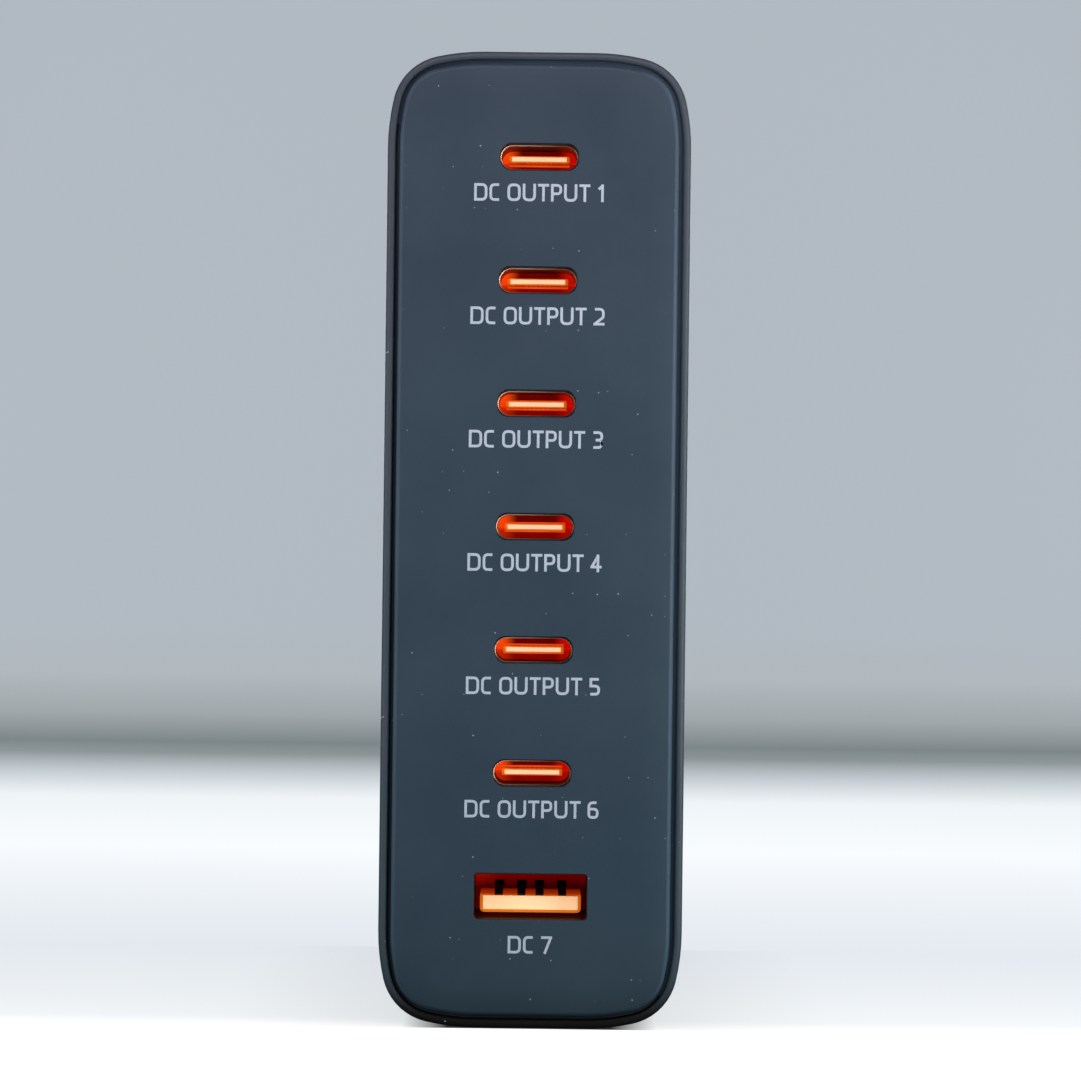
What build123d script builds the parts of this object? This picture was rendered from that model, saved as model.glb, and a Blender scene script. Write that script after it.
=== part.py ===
from build123d import *
import os
from math import acos, degrees, sqrt

# Seven-port desktop charger that stands on its narrow end. Millimetres: X is the width, Y the depth
# with the ports facing -Y, Z the height, and the origin is at the middle of the foot.

# Housing: a moulded sleeve, closed at the rear
width = 33.3
height = 107.0
depth = 84.0
wall = 2.2
rear_wall = 2.4
rear_edge_r = 2.5

# Corner of the outline: a tight tip arc between two wide arcs that ease into the straight sides
corner_reach = 10.6
corner_end_r = 24.0
corner_tip_r = 6.2

# Rim of the housing and the cover that is welded into it
lip_wall = 0.9
lip_setback = 0.4
lip_crest = 0.05
lip_inner_r = 0.35
joint_gap = 0.17
shelf_width = 0.28
panel_rise = 1.1
panel_side = 0.6
cover_plate = 2.0
skirt_length = 3.0
skirt_wall = 1.2
skirt_gap = 0.1

# Port openings in the cover, one column at an even pitch
port_pitch = 13.5
port_column_rise = 1.45
usb_c_count = 6
usb_c_open_w = 8.5
usb_c_open_h = 2.85
usb_c_open_flat = 0.45
usb_a_open_w = 12.3
usb_a_open_h = 4.95
usb_a_open_r = 0.35
port_lead_in = 0.12
port_web = 1.2
nose_gap = 0.15
mouth_gap = 0.05

# Receptacles: drawn shells that stand on the port board, with moulded tongues
receptacle_tall = 13.9
shell_sheet = 0.3
shell_fit = 0.03
shell_lead_in = 0.1
shell_tab_w = 1.0
shell_tab_out = 0.5
tab_gap = 0.1
usb_c_in_w = 8.34
usb_c_in_h = 2.56
usb_c_plug_space = 6.2
usb_c_tab_x = 2.4
usb_c_tongue_w = 6.69
usb_c_tongue_t = 0.7
usb_c_tongue_corner = 0.4
usb_c_tip_edge = 0.12
usb_c_tongue_back = 1.75
usb_c_root_t = 1.1
usb_c_root_l = 1.2
usb_c_seam_h = 0.12
usb_c_seam_deep = 0.2
usb_c_contact_x = (-2.75, -1.25, -0.75, -0.25, 0.25, 0.75, 1.25, 2.75)
usb_c_contact_w = 0.25
usb_c_contact_t = 0.05
usb_c_contact_back = 0.8
usb_a_in_w = 12.5
usb_a_in_h = 5.12
usb_a_in_r = 0.3
usb_a_plug_space = 11.8
usb_a_tab_x = 4.2
usb_a_tongue_w = 11.1
usb_a_tongue_t = 1.84
usb_a_tongue_drop = 0.64
usb_a_tongue_r = 0.45
usb_a_tip_edge = 0.35
usb_a_tongue_back = 1.0
usb_a_contact_x = (-3.5, -1.0, 1.0, 3.5)
usb_a_contact_w = 0.9
usb_a_contact_t = 0.2
usb_a_contact_back = 0.6
usb_a_contact_rise = 0.55
usb_a_contact_slope = 1.4
usb_a_contact_foot = 0.6
usb_a_foot_gap = 0.05
usb_a_slot_w = 1.1
usb_a_slot_h = 0.85

# Boards: the port board across the front, the main board along one broad side
board_t = 1.6
board_gap = 0.3
board_end_gap = 2.0
board_rear_gap = 1.0
board_step = 0.2
board_tab_l = 5.0
board_tab_pitch = 34.0
board_tab_out = 0.4
rib_t = 1.2
rib_reach = 5.0
rib_gap = 0.1
rib_root = 0.4
spreader_t = 1.0
spreader_margin = 1.0
sheet_t = 0.4
sheet_border = 1.5
pad_t = 0.8
pad_length = 30.0
pad_height = 40.0

# Mains inlet in the rear wall: a figure-of-eight recess with two pins
inlet_rise = 24.0
inlet_lobe_r = 3.8
inlet_lobe_pitch = 8.6
inlet_waist = 5.4
inlet_rim = 1.2
inlet_gap = 0.1
inlet_flange = 1.6
inlet_recess = 11.5
inlet_floor = 3.2
inlet_pin_r = 1.2
inlet_pin_l = 9.0
inlet_pin_tip = 0.4
inlet_pin_root = 1.8
inlet_root_r = 0.9
inlet_tail = 1.0

# Power parts on the main board: sizes along Y, along Z and away from the board
inductor_side = 8.0
inductor_tall = 4.5
inductor_edge = 1.2
controller_side = 5.0
controller_tall = 0.9
controller_gap = 0.8
output_can_d = 6.3
output_can_tall = 9.0
output_can_edge = 0.5
bulk_can_d = 14.5
bulk_can_tall = 20.5
can_bead = 0.4
can_bead_rise = 2.6
can_top_r = 0.8
transformer_size = (19.0, 26.0, 20.0)
transformer_window_r = 11.0
transformer_window_tall = 13.0
transformer_post_r = 6.0
pfc_size = (14.0, 20.0, 16.0)
pfc_window_r = 8.4
pfc_window_tall = 10.0
pfc_post_r = 4.4
bobbin_wall = 0.8
winding_gap = 0.1
winding_back = 0.5
choke_core_r = 8.0
choke_core_hole_r = 5.0
choke_core_tall = 6.0
choke_wire = 0.9
choke_wind_arc = 130.0
heatsink_size = (16.0, 5.0, 15.0)
heatsink_plate = 1.6
heatsink_fin = 1.2
heatsink_fins = 4
x_capacitor_size = (8.0, 14.0, 13.0)
box_edge_r = 0.6
rectifier_size = (3.6, 15.0, 11.0)
rectifier_hole_r = 1.6
rectifier_hole_drop = 3.0
fuse_size = (8.5, 4.0, 8.0)
varistor_r = 4.5
varistor_t = 4.0
safety_r = 3.5
safety_t = 3.2
disc_lift = 1.2
disc_lead_r = 0.35
disc_lead_pitch = 5.0

# Planes and levels worked out from the sizes above
front_y = -depth / 2
rear_y = depth / 2
lip_y = front_y + lip_setback
lip_outer_r = lip_wall - lip_inner_r - lip_crest
shelf_y = front_y + panel_rise
plate_back_y = front_y + cover_plate
cavity_end_y = rear_y - rear_wall
cover_inset = lip_wall + joint_gap
mouth_y = front_y + port_web + mouth_gap
port_board_y = mouth_y + receptacle_tall
port_board_back_y = port_board_y + board_t
main_front_y = port_board_back_y + board_step
main_rear_y = cavity_end_y - board_rear_gap
wall_x = -(width / 2 - wall)
sheet_x = wall_x + spreader_t
pad_x = sheet_x + sheet_t
solder_side_x = pad_x + pad_t
part_side_x = solder_side_x + board_t
controller_x = usb_a_tab_x + shell_tab_w / 2 + controller_gap + controller_side / 2
board_low_z = wall + board_end_gap
board_high_z = height - wall - board_end_gap
part_low_z = wall + rib_reach
part_high_z = height - wall - rib_reach
usb_c_rows = [port_column_rise + (usb_c_count / 2 - k) * port_pitch for k in range(usb_c_count)]
usb_a_row = usb_c_rows[-1] - port_pitch
port_rows = usb_c_rows + [usb_a_row]
inlet_row = inlet_rise - height / 2
inlet_half_h = inlet_lobe_pitch / 2 + inlet_lobe_r + inlet_rim
inlet_half_w = inlet_lobe_r + inlet_rim
end_turn = degrees(acos((corner_end_r - corner_reach) / (corner_end_r - corner_tip_r) / sqrt(2))) - 45


def facing(y):
    """Upright plane at depth y, seen from the front, centred on the housing's height."""
    return Plane(origin=(0, y, height / 2), x_dir=(1, 0, 0), z_dir=(0, -1, 0))


def outline(inset):
    """Outline of the housing moved in by inset: straight sides and three-arc corners."""
    half_w = width / 2 - inset
    half_h = height / 2 - inset
    with BuildSketch() as face:
        with BuildLine():
            side = Line((half_w, 0), (half_w, half_h - corner_reach + inset))
            rise = JernArc(side @ 1, side % 1, corner_end_r - inset, end_turn)
            tip = JernArc(rise @ 1, rise % 1, corner_tip_r - inset, 90 - 2 * end_turn)
            fall = JernArc(tip @ 1, tip % 1, corner_end_r - inset, end_turn)
            Line(fall @ 1, (0, half_h))
            mirror(about=Plane.YZ)
            mirror(about=Plane.XZ)
        make_face()
    return face.sketch


def spread(sizes, low, high):
    """Middles of pieces of these sizes, set between low and high with even gaps."""
    gap = (high - low - sum(sizes)) / (len(sizes) + 1)
    middles = []
    edge = low
    for size in sizes:
        middles.append(edge + gap + size / 2)
        edge += gap + size
    return middles


def save(piece, name):
    """Label a finished piece and write it to its own file."""
    piece.label = name
    export_step(piece, f"parts/{name}.step")


os.makedirs("parts", exist_ok=True)
part_plane = Plane.YZ.offset(part_side_x)

# Places of the power parts: columns along Y, then rows along Z in each column
column_y = spread(
    [inductor_side, output_can_d, transformer_size[0], bulk_can_d], main_front_y, main_rear_y
)
output_z = spread([inductor_side] * len(port_rows), part_low_z, part_high_z)
choke_reach = 2 * (choke_core_r + choke_wire)
magnet_z = spread(
    [choke_reach, pfc_size[1], transformer_size[1], heatsink_size[1]], part_low_z, part_high_z
)
inlet_top_z = inlet_rise + inlet_half_h + inlet_flange
guard_row_z, filter_row_z, bulk_1_z, bulk_2_z, safety_z = spread(
    [max(fuse_size[1], varistor_t), x_capacitor_size[1], bulk_can_d, bulk_can_d, safety_t],
    inlet_top_z,
    part_high_z,
)
rear_bay_y = column_y[2] + transformer_size[0] / 2
varistor_y, fuse_y = spread([2 * varistor_r, fuse_size[0]], rear_bay_y, main_rear_y)
rectifier_y, x_capacitor_y = spread([rectifier_size[0], x_capacitor_size[0]], rear_bay_y, main_rear_y)

# Housing shell with its rim, its board guides and the hole for the inlet
with BuildPart() as housing_shell:
    with BuildSketch(facing(lip_y)):
        add(outline(0))
    extrude(amount=lip_y - rear_y)
    fillet(housing_shell.faces().sort_by(Axis.Y)[-1].edges(), rear_edge_r)
    with BuildSketch(facing(lip_y)):
        add(outline(lip_wall))
    extrude(amount=lip_y - plate_back_y, mode=Mode.SUBTRACT)
    with BuildSketch(facing(plate_back_y)):
        add(outline(wall))
    extrude(amount=plate_back_y - cavity_end_y, mode=Mode.SUBTRACT)
    fillet(housing_shell.faces().sort_by(Axis.Y)[0].outer_wire().edges(), lip_outer_r)
    fillet(housing_shell.faces().sort_by(Axis.Y)[0].inner_wires()[0].edges(), lip_inner_r)
    with BuildSketch(facing(port_board_back_y)):
        for rib_x in (solder_side_x - rib_gap - rib_t / 2, part_side_x + rib_gap + rib_t / 2):
            for end in (-1, 1):
                with Locations((rib_x, end * (height / 2 - (wall + rib_reach) / 2))):
                    Rectangle(rib_t, wall + rib_reach)
        add(outline(wall - rib_root), mode=Mode.INTERSECT)
    extrude(amount=port_board_back_y - cavity_end_y)
    with BuildSketch(facing(rear_y)):
        with Locations((0, inlet_row)):
            SlotOverall(2 * (inlet_half_h + inlet_gap), 2 * (inlet_half_w + inlet_gap), rotation=90)
    extrude(amount=rear_wall, mode=Mode.SUBTRACT)
save(housing_shell.part, "housing_shell")

# Front cover: raised panel, shadow shelf, weld skirt, and an opening with a nose pocket for each port
with BuildPart() as front_cover:
    with BuildSketch(facing(front_y)):
        add(outline(cover_inset + shelf_width))
    extrude(amount=-panel_rise)
    fillet(front_cover.faces().sort_by(Axis.Y)[0].edges(), panel_rise - panel_side)
    with BuildSketch(facing(shelf_y)):
        add(outline(cover_inset))
    extrude(amount=shelf_y - plate_back_y)
    with BuildSketch(facing(plate_back_y)):
        add(outline(wall + skirt_gap))
        add(outline(wall + skirt_gap + skirt_wall), mode=Mode.SUBTRACT)
    extrude(amount=-skirt_length)
    with BuildSketch(facing(front_y)):
        with Locations(*[(0, row) for row in usb_c_rows]):
            RectangleRounded(usb_c_open_w, usb_c_open_h, (usb_c_open_h - usb_c_open_flat) / 2)
        with Locations((0, usb_a_row)):
            RectangleRounded(usb_a_open_w, usb_a_open_h, usb_a_open_r)
    extrude(amount=-cover_plate, mode=Mode.SUBTRACT)
    face_edges = front_cover.faces().sort_by(Axis.Y)[0].inner_wires()
    chamfer([edge for wire in face_edges for edge in wire.edges()], port_lead_in)
    with BuildSketch(facing(front_y + port_web)):
        with Locations(*[(0, row) for row in usb_c_rows]):
            SlotOverall(
                usb_c_in_w + 2 * (shell_sheet + nose_gap), usb_c_in_h + 2 * (shell_sheet + nose_gap)
            )
        with Locations((0, usb_a_row)):
            RectangleRounded(
                usb_a_in_w + 2 * (shell_sheet + nose_gap),
                usb_a_in_h + 2 * (shell_sheet + nose_gap),
                usb_a_in_r + shell_sheet + nose_gap,
            )
    extrude(amount=port_web - cover_plate, mode=Mode.SUBTRACT)
save(front_cover.part, "front_cover")

# Small oval receptacles: shell, tongue and contact strips for each
for number, row in enumerate(usb_c_rows, start=1):
    with BuildPart() as usb_c_shell:
        with BuildSketch(facing(mouth_y)):
            with Locations((0, row)):
                SlotOverall(usb_c_in_w + 2 * shell_sheet, usb_c_in_h + 2 * shell_sheet)
                SlotOverall(usb_c_in_w, usb_c_in_h, mode=Mode.SUBTRACT)
        extrude(amount=-receptacle_tall)
        mouth = usb_c_shell.faces().sort_by(Axis.Y)[0]
        chamfer(mouth.inner_wires()[0].edges(), shell_lead_in)
        with BuildSketch(facing(port_board_y)):
            with Locations((0, row)):
                with GridLocations(2 * usb_c_tab_x, usb_c_in_h + shell_sheet, 2, 2):
                    Rectangle(shell_tab_w, shell_sheet)
        extrude(amount=-board_t - shell_tab_out)
    save(usb_c_shell.part, f"usb_c_shell_{number}")

    with BuildPart() as usb_c_tongue:
        with BuildSketch(facing(mouth_y + usb_c_plug_space)):
            with Locations((0, row)):
                SlotOverall(usb_c_in_w - 2 * shell_fit, usb_c_in_h - 2 * shell_fit)
        extrude(amount=usb_c_plug_space - receptacle_tall)
        with BuildSketch(facing(mouth_y + usb_c_plug_space)):
            with Locations((0, row)):
                Rectangle(usb_c_in_w, usb_c_seam_h)
                Rectangle(usb_c_tongue_w, usb_c_seam_h, mode=Mode.SUBTRACT)
        extrude(amount=-usb_c_seam_deep, mode=Mode.SUBTRACT)
        with BuildSketch(facing(mouth_y + usb_c_plug_space)):
            with Locations((0, row)):
                Rectangle(usb_c_tongue_w, usb_c_root_t)
        extrude(amount=usb_c_root_l)
        with BuildSketch(facing(mouth_y + usb_c_tongue_back)):
            with Locations((0, row)):
                Rectangle(usb_c_tongue_w, usb_c_tongue_t)
        extrude(amount=usb_c_tongue_back - usb_c_plug_space + usb_c_root_l)
        tip = usb_c_tongue.faces().sort_by(Axis.Y)[0]
        fillet(tip.edges().filter_by(Axis.Z), usb_c_tongue_corner)
        tip = usb_c_tongue.faces().sort_by(Axis.Y)[0]
        chamfer(tip.edges().filter_by(Axis.X), usb_c_tip_edge)
    save(usb_c_tongue.part, f"usb_c_tongue_{number}")

    with BuildPart() as usb_c_contacts:
        with BuildSketch(facing(mouth_y + usb_c_tongue_back + usb_c_contact_back)):
            for face in (-1, 1):
                strip_row = row + face * (usb_c_tongue_t + usb_c_contact_t) / 2
                with Locations(*[(x, strip_row) for x in usb_c_contact_x]):
                    Rectangle(usb_c_contact_w, usb_c_contact_t)
        extrude(amount=usb_c_tongue_back + usb_c_contact_back + usb_c_root_l - usb_c_plug_space)
    save(usb_c_contacts.part, f"usb_c_contacts_{number}")

# Flat rectangular receptacle: shell, tongue with slotted back wall, four spring contacts
tongue_low = usb_a_row - usb_a_in_h / 2 + usb_a_tongue_drop
tongue_top = tongue_low + usb_a_tongue_t
with BuildPart() as usb_a_shell:
    with BuildSketch(facing(mouth_y)):
        with Locations((0, usb_a_row)):
            RectangleRounded(
                usb_a_in_w + 2 * shell_sheet, usb_a_in_h + 2 * shell_sheet, usb_a_in_r + shell_sheet
            )
            RectangleRounded(usb_a_in_w, usb_a_in_h, usb_a_in_r, mode=Mode.SUBTRACT)
    extrude(amount=-receptacle_tall)
    mouth = usb_a_shell.faces().sort_by(Axis.Y)[0]
    chamfer(mouth.inner_wires()[0].edges(), shell_lead_in)
    with BuildSketch(facing(port_board_y)):
        with Locations((0, usb_a_row)):
            with GridLocations(2 * usb_a_tab_x, usb_a_in_h + shell_sheet, 2, 2):
                Rectangle(shell_tab_w, shell_sheet)
    extrude(amount=-board_t - shell_tab_out)
save(usb_a_shell.part, "usb_a_shell")

with BuildPart() as usb_a_tongue:
    with BuildSketch(facing(mouth_y + usb_a_tongue_back)):
        with Locations((0, tongue_low + usb_a_tongue_t / 2)):
            Rectangle(usb_a_tongue_w, usb_a_tongue_t)
    extrude(amount=usb_a_tongue_back - usb_a_plug_space)
    low_edges = usb_a_tongue.faces().sort_by(Axis.Z)[0].edges()
    fillet(low_edges.filter_by(Axis.Y), usb_a_tongue_r)
    tip = usb_a_tongue.faces().sort_by(Axis.Y)[0]
    chamfer(tip.edges().sort_by(Axis.Z)[:-1], usb_a_tip_edge)
    with BuildSketch(facing(mouth_y + usb_a_plug_space)):
        with Locations((0, usb_a_row)):
            RectangleRounded(
                usb_a_in_w - 2 * shell_fit, usb_a_in_h - 2 * shell_fit, usb_a_in_r - shell_fit
            )
        with Locations(*[(x, tongue_top + usb_a_slot_h / 2) for x in usb_a_contact_x]):
            Rectangle(usb_a_slot_w, usb_a_slot_h, mode=Mode.SUBTRACT)
    extrude(amount=usb_a_plug_space - receptacle_tall)
save(usb_a_tongue.part, "usb_a_tongue")

contact_tip_y = mouth_y + usb_a_tongue_back + usb_a_contact_back
contact_crest_y = contact_tip_y + usb_a_contact_slope
contact_flat_y = contact_crest_y + usb_a_contact_slope
contact_z = height / 2 + tongue_top
contact_foot_y = port_board_y - usb_a_contact_foot
contact_foot_top_z = contact_z + usb_a_slot_h - usb_a_foot_gap
with BuildPart() as usb_a_contacts:
    for x in usb_a_contact_x:
        with BuildSketch(Plane.YZ.offset(x)):
            with BuildLine():
                Polyline(
                    (contact_tip_y, contact_z),
                    (contact_crest_y, contact_z + usb_a_contact_rise),
                    (contact_flat_y, contact_z),
                    (port_board_y, contact_z),
                    (port_board_y, contact_foot_top_z),
                    (contact_foot_y, contact_foot_top_z),
                    (contact_foot_y, contact_z + usb_a_contact_t),
                    (contact_flat_y, contact_z + usb_a_contact_t),
                    (contact_crest_y, contact_z + usb_a_contact_rise + usb_a_contact_t),
                    (contact_tip_y, contact_z + usb_a_contact_t),
                    close=True,
                )
            make_face()
        extrude(amount=usb_a_contact_w / 2, both=True)
save(usb_a_contacts.part, "usb_a_contacts")

# Port board, cut to the inside of the housing and slotted for the shells' tabs and the main board's tabs
board_tab_rows = [k * board_tab_pitch for k in (-1, 0, 1)]
board_mid_x = (solder_side_x + part_side_x) / 2
with BuildPart() as port_board:
    with BuildSketch(facing(port_board_y)):
        add(outline(wall + board_gap))
        for row in usb_c_rows:
            with Locations((0, row)):
                with GridLocations(2 * usb_c_tab_x, usb_c_in_h + shell_sheet, 2, 2):
                    Rectangle(shell_tab_w + 2 * tab_gap, shell_sheet + 2 * tab_gap, mode=Mode.SUBTRACT)
        with Locations((0, usb_a_row)):
            with GridLocations(2 * usb_a_tab_x, usb_a_in_h + shell_sheet, 2, 2):
                Rectangle(shell_tab_w + 2 * tab_gap, shell_sheet + 2 * tab_gap, mode=Mode.SUBTRACT)
        with Locations(*[(board_mid_x, row) for row in board_tab_rows]):
            Rectangle(board_t + 2 * tab_gap, board_tab_l + 2 * tab_gap, mode=Mode.SUBTRACT)
    extrude(amount=-board_t)
save(port_board.part, "port_board")

with BuildPart() as port_controllers:
    with BuildSketch(facing(port_board_back_y)):
        with Locations(*[(controller_x, row) for row in port_rows]):
            Rectangle(controller_side, controller_side)
    extrude(amount=-controller_tall)
save(port_controllers.part, "port_controllers")

# Inlet: pins with tails bent to the main board, and the socket moulded round them
inlet_floor_y = rear_y - inlet_recess
inlet_front_y = inlet_floor_y - inlet_floor
tail_y = inlet_floor_y - inlet_pin_root + inlet_tail / 2
pin_rows = [inlet_row - inlet_lobe_pitch / 2, inlet_row + inlet_lobe_pitch / 2]
with BuildPart() as inlet_pins:
    with BuildSketch(facing(inlet_floor_y)):
        with Locations(*[(0, row) for row in pin_rows]):
            Circle(inlet_pin_r)
    extrude(amount=-inlet_pin_l)
    pin_ends = inlet_pins.faces().filter_by(Axis.Y).group_by(Axis.Y)[-1]
    chamfer(pin_ends.edges(), inlet_pin_tip)
    with BuildSketch(facing(inlet_floor_y - inlet_pin_root)):
        with Locations(*[(0, row) for row in pin_rows]):
            Circle(inlet_root_r)
    extrude(amount=-inlet_pin_root)
    with BuildSketch(Plane.YZ):
        with Locations(*[(tail_y, height / 2 + row) for row in pin_rows]):
            Rectangle(inlet_tail, inlet_tail)
    extrude(amount=solder_side_x)
save(inlet_pins.part, "inlet_pins")

block_x = inlet_half_w + inlet_flange
with BuildPart() as inlet_socket:
    with BuildSketch(facing(cavity_end_y)):
        with Locations(((part_side_x + block_x) / 2, inlet_row)):
            Rectangle(block_x - part_side_x, 2 * (inlet_half_h + inlet_flange))
    extrude(amount=cavity_end_y - inlet_front_y)
    with BuildSketch(facing(cavity_end_y)):
        with Locations((0, inlet_row)):
            SlotOverall(2 * inlet_half_h, 2 * inlet_half_w, rotation=90)
    extrude(amount=-rear_wall)
    with BuildSketch(facing(rear_y)):
        with Locations(*[(0, row) for row in pin_rows]):
            Circle(inlet_lobe_r)
        with Locations((0, inlet_row)):
            Rectangle(inlet_waist, inlet_lobe_pitch)
    extrude(amount=inlet_recess, mode=Mode.SUBTRACT)
    add(inlet_pins.part, mode=Mode.SUBTRACT)
save(inlet_socket.part, "inlet_socket")

# Main board in its guides, tabbed into the port board and drilled for the inlet's tails
with BuildPart() as main_board:
    with BuildSketch(Plane.YZ.offset(solder_side_x)):
        with Locations(((main_front_y + main_rear_y) / 2, height / 2)):
            Rectangle(main_rear_y - main_front_y, board_high_z - board_low_z)
        tab_start_y = port_board_y - board_tab_out
        with Locations(
            *[((tab_start_y + main_front_y) / 2, height / 2 + row) for row in board_tab_rows]
        ):
            Rectangle(main_front_y - tab_start_y, board_tab_l)
        with Locations(*[(tail_y, height / 2 + row) for row in pin_rows]):
            Rectangle(inlet_tail + 2 * tab_gap, inlet_tail + 2 * tab_gap, mode=Mode.SUBTRACT)
    extrude(amount=board_t)
save(main_board.part, "main_board")

# Heat path from the solder side to the wall: pad, insulating sheet, aluminium spreader
spreader_low_z = corner_reach + spreader_margin
spreader_mid = ((main_front_y + main_rear_y) / 2, height / 2)
spreader_l = main_rear_y - main_front_y - 2 * spreader_margin
spreader_h = height - 2 * spreader_low_z
with BuildPart() as heat_spreader:
    with BuildSketch(Plane.YZ.offset(wall_x)):
        with Locations(spreader_mid):
            RectangleRounded(spreader_l, spreader_h, spreader_margin)
    extrude(amount=spreader_t)
save(heat_spreader.part, "heat_spreader")

with BuildPart() as insulating_sheet:
    with BuildSketch(Plane.YZ.offset(sheet_x)):
        with Locations(spreader_mid):
            Rectangle(spreader_l - sheet_border, spreader_h - sheet_border)
    extrude(amount=sheet_t)
save(insulating_sheet.part, "insulating_sheet")

with BuildPart() as thermal_pad:
    with BuildSketch(Plane.YZ.offset(pad_x)):
        with Locations((column_y[2], magnet_z[2])):
            RectangleRounded(pad_length, pad_height, spreader_margin)
    extrude(amount=pad_t)
save(thermal_pad.part, "thermal_pad")

# One inductor and one output capacitor beside each port
with BuildPart() as port_inductors:
    with BuildSketch(part_plane):
        with Locations(*[(column_y[0], z) for z in output_z]):
            Rectangle(inductor_side, inductor_side)
    extrude(amount=inductor_tall)
    chamfer(port_inductors.edges().filter_by(Axis.X), inductor_edge)
save(port_inductors.part, "port_inductors")

with BuildPart() as output_capacitors:
    with BuildSketch(part_plane):
        with Locations(*[(column_y[1], z) for z in output_z]):
            Circle(output_can_d / 2)
    extrude(amount=output_can_tall)
    can_tops = output_capacitors.faces().group_by(Axis.X)[-1]
    chamfer(can_tops.edges(), output_can_edge)
save(output_capacitors.part, "output_capacitors")


def can_profile(y, z):
    """Half section of a bulk capacitor's can on the main board, beaded near its foot."""
    radius = bulk_can_d / 2
    section = Plane(origin=(part_side_x, y, z), x_dir=(0, 1, 0), z_dir=(0, 0, -1))
    with BuildSketch(section) as half:
        with BuildLine():
            foot = Line((0, 0), (radius, 0))
            lower = Line(foot @ 1, (radius, can_bead_rise - can_bead))
            bead = ThreePointArc(
                lower @ 1, (radius - can_bead, can_bead_rise), (radius, can_bead_rise + can_bead)
            )
            side = Line(bead @ 1, (radius, bulk_can_tall - can_top_r))
            shoulder = JernArc(side @ 1, side % 1, can_top_r, 90)
            top = Line(shoulder @ 1, (0, bulk_can_tall))
            Line(top @ 1, foot @ 0)
        make_face()
    return half.sketch


for number, z in enumerate((bulk_1_z, bulk_2_z), start=1):
    with BuildPart() as bulk_capacitor:
        add(can_profile(column_y[3], z))
        revolve(axis=Axis((0, column_y[3], z), (1, 0, 0)))
    save(bulk_capacitor.part, f"bulk_capacitor_{number}")


def ferrite_core(size, window_r, window_tall, post_r, y, z):
    """Block core with a round winding window open on two sides and a round centre post."""
    long_y, long_z, tall = size
    with BuildPart() as core:
        with BuildSketch(part_plane):
            with Locations((y, z)):
                Rectangle(long_y, long_z)
        extrude(amount=tall)
        with BuildSketch(part_plane.offset((tall - window_tall) / 2)):
            with Locations((y, z)):
                Circle(window_r)
                Circle(post_r, mode=Mode.SUBTRACT)
        extrude(amount=window_tall, mode=Mode.SUBTRACT)
    return core.part


def ring(inner_r, outer_r, start, end, y, z):
    """Ring round a core's post, between two levels above the main board."""
    with BuildPart() as band:
        with BuildSketch(part_plane.offset(start)):
            with Locations((y, z)):
                Circle(outer_r)
                Circle(inner_r, mode=Mode.SUBTRACT)
        extrude(amount=end - start)
    return band.part


# Transformer: ferrite core, moulded bobbin and taped winding
transformer_at = (column_y[2], magnet_z[2])
window_low = (transformer_size[2] - transformer_window_tall) / 2 + winding_gap
window_high = window_low + transformer_window_tall - 2 * winding_gap
bobbin_r = transformer_post_r + winding_gap
tube_r = bobbin_r + bobbin_wall
flange_r = transformer_window_r - winding_gap
wind_r = flange_r - winding_back
save(
    ferrite_core(
        transformer_size, transformer_window_r, transformer_window_tall, transformer_post_r, *transformer_at
    ),
    "transformer_core",
)
with BuildPart() as transformer_bobbin:
    add(ring(bobbin_r, tube_r, window_low, window_high, *transformer_at))
    add(ring(bobbin_r, flange_r, window_low, window_low + bobbin_wall, *transformer_at))
    add(ring(bobbin_r, flange_r, window_high - bobbin_wall, window_high, *transformer_at))
save(transformer_bobbin.part, "transformer_bobbin")
save(
    ring(
        tube_r + shell_fit,
        wind_r,
        window_low + bobbin_wall,
        window_high - bobbin_wall,
        *transformer_at,
    ),
    "transformer_winding",
)

# Power-factor inductor: the same kind of core, wound without a bobbin
pfc_at = (column_y[2], magnet_z[1])
pfc_low = (pfc_size[2] - pfc_window_tall) / 2
save(ferrite_core(pfc_size, pfc_window_r, pfc_window_tall, pfc_post_r, *pfc_at), "pfc_core")
save(
    ring(
        pfc_post_r + winding_gap,
        pfc_window_r - winding_gap,
        pfc_low,
        pfc_low + pfc_window_tall,
        *pfc_at,
    ),
    "pfc_winding",
)

# Common-mode choke: ring core with two separate windings
choke_at = (column_y[2], magnet_z[0])
choke_low = choke_wire + winding_gap
save(
    ring(choke_core_hole_r, choke_core_r, choke_low, choke_low + choke_core_tall, *choke_at), "choke_core"
)
choke_section = Plane(origin=(part_side_x, *choke_at), x_dir=(0, 1, 0), z_dir=(0, 0, -1))
choke_axis = Axis((part_side_x, *choke_at), (1, 0, 0))
choke_mid = ((choke_core_r + choke_core_hole_r) / 2, choke_low + choke_core_tall / 2)
choke_in_w = choke_core_r - choke_core_hole_r + 2 * winding_gap
choke_in_h = choke_core_tall + 2 * winding_gap
with BuildPart() as choke_winding:
    for turn in (-90, 90):
        with BuildSketch(choke_section.rotated((turn - choke_wind_arc / 2, 0, 0))):
            with Locations(choke_mid):
                Rectangle(choke_in_w + 2 * choke_wire, choke_in_h + 2 * choke_wire)
                Rectangle(choke_in_w, choke_in_h, mode=Mode.SUBTRACT)
        revolve(axis=choke_axis, revolution_arc=choke_wind_arc)
save(choke_winding.part, "choke_winding")

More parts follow.
